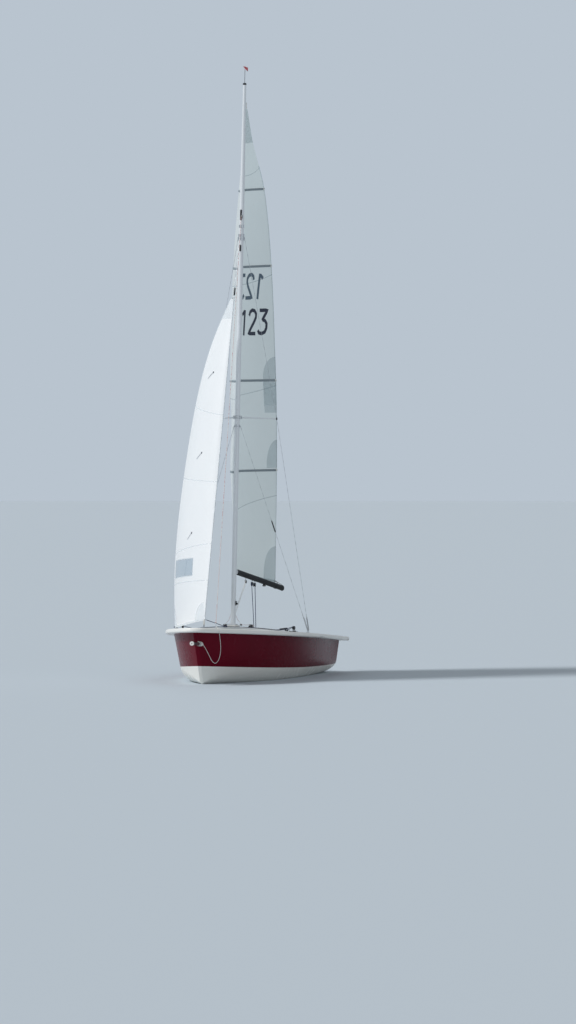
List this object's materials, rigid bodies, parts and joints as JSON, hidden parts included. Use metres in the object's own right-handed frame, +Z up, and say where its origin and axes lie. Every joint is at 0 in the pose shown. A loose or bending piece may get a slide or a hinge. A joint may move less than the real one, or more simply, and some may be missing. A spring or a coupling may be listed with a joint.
{
  "type": "sailing dinghy",
  "caption": "Round-bilge sailing dinghy afloat with mast, boom, mainsail, jib, bowsprit, centreboard, lifting rudder and a self-draining cockpit open at the stern.",
  "frame": {"origin": "on the hull's centreline at the waterline, midway between bow and stern of the deck", "axes": "+X forward to the bow, +Y to port, +Z up along the waterline's normal"},
  "size_m": [5.3679, 2, 9.5799],
  "materials": {
    "hull_gelcoat": "glossy gelcoat",
    "white_gelcoat": "glossy gelcoat",
    "mainsail_cloth": "crisp woven polyester",
    "jib_cloth": "crisp woven polyester",
    "boom_anodised": "black anodised",
    "spar_alloy": "clear anodised",
    "steel": "polished",
    "black_plastic": "moulded",
    "white_plastic": "moulded",
    "carbon": "clear coated",
    "rope": "braided"
  },
  "bodies": {
    "root": {"bowsprit_bush": "white_plastic", "cap_shroud_port": "steel", "cap_shroud_starboard": "steel", "centreboard_case": "white_gelcoat", "chainplates_port": "steel", "chainplates_starboard": "steel", "deck_eye": "steel", "deck_moulding": "white_gelcoat", "forestay": "steel", "forestay_band": "steel", "gooseneck": "steel", "gudgeon_lower": "steel", "gudgeon_upper": "steel", "hounds_band": "steel", "hull_moulding": "hull_gelcoat", "jib_sail": "jib_cloth", "lower_shroud_band": "steel", "lower_shroud_port": "steel", "lower_shroud_starboard": "steel", "mainsheet_block": "black_plastic", "mast": "spar_alloy", "mast_step": "spar_alloy", "masthead_cap": "black_plastic", "pivot_bolt": "steel", "spreader_bracket": "steel", "spreader_port": "spar_alloy", "spreader_starboard": "spar_alloy", "stem_fitting": "steel", "tack_line": "rope"},
    "boom": {"boom": "boom_anodised", "boom_end": "black_plastic", "boom_toggle": "spar_alloy", "mainsail": "mainsail_cloth", "headboard": "white_plastic"},
    "rudder": {"rudder_stock": "spar_alloy", "rudder_blade_bolt": "steel", "tiller": "spar_alloy", "tiller_extension": "carbon"},
    "rudder_blade": {"rudder_blade": "white_gelcoat"},
    "centreboard": {"centreboard": "white_gelcoat"},
    "bowsprit": {"bowsprit": "carbon", "bowsprit_ring": "white_plastic"}
  },
  "joints": [
    {"name": "boom_swing", "type": "hinge", "parent": "root", "child": "boom", "pos_m": [0.37074, 0, 1.48184], "axis": [-0.0802, 0, 0.9968], "range_deg": [-60, 38]},
    {"name": "rudder_steer", "type": "hinge", "parent": "root", "child": "rudder", "pos_m": [-2.44, 0, 0.2], "axis": [0, 0, 1], "range_deg": [-42, 42]},
    {"name": "rudder_blade_lift", "type": "hinge", "parent": "rudder", "child": "rudder_blade", "pos_m": [-2.54, 0, 0.07], "axis": [0, 1, 0], "range_deg": [0, 80]},
    {"name": "centreboard_lift", "type": "hinge", "parent": "root", "child": "centreboard", "pos_m": [0.33, 0, -0.03], "axis": [0, 1, 0], "range_deg": [0, 88]},
    {"name": "bowsprit_slide", "type": "slide", "parent": "root", "child": "bowsprit", "axis": [0.9988, 0, 0.0489], "range_m": [0, 1.1]}
  ]
}
